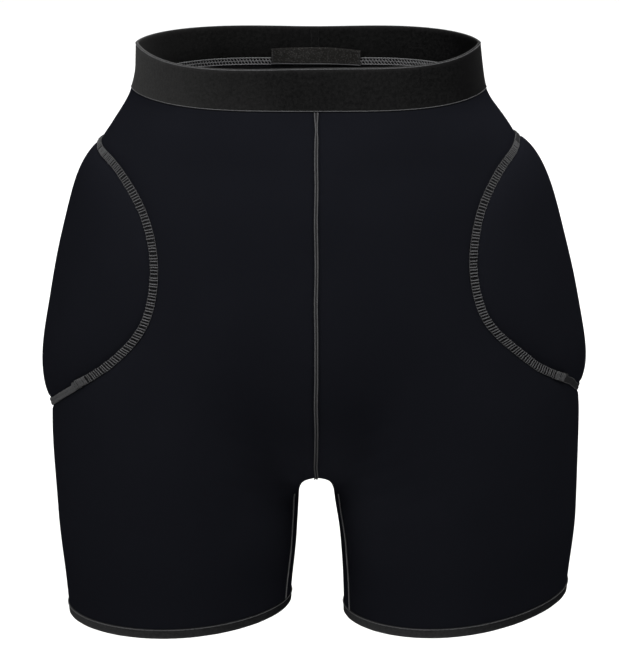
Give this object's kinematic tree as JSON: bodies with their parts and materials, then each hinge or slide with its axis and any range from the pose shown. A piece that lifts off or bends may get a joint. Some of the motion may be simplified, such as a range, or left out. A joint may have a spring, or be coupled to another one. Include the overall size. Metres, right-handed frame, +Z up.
{
  "type": "padded protective shorts",
  "caption": "Close-fitting thigh-length shorts with a wide elastic waistband, raised flatlock seams, bound hems and a domed foam pad under a cover at each hip, in worn shape.",
  "frame": {"origin": "centre of the waist, half way up the waistband, on the plane of the front and back seam", "axes": "+Z up through the waist, +X to the wearer's left, -Y to the front"},
  "size_m": [0.399, 0.2436, 0.4281],
  "materials": {
    "stretch_cloth": "matte knitted stretch cloth, bluish black",
    "elastic": "matte woven elastic, black",
    "binding": "matte folded binding, black",
    "thread": "matte thread, dark grey",
    "woven_tab": "matte woven tape, very dark grey, bare",
    "foam": "matte soft foam, dark grey"
  },
  "bodies": {
    "root": {"waistband": "elastic", "waist_seam": "thread", "inner_tab": "woven_tab", "centre_seam": "thread", "leg_panel_left": "stretch_cloth", "hip_cover_left": "stretch_cloth", "hip_pad_left": "foam", "hip_seam_left": "thread", "inseam_left": "thread", "hem_band_left": "binding", "leg_panel_right": "stretch_cloth", "hip_cover_right": "stretch_cloth", "hip_pad_right": "foam", "hip_seam_right": "thread", "inseam_right": "thread", "hem_band_right": "binding"}
  },
  "joints": []
}
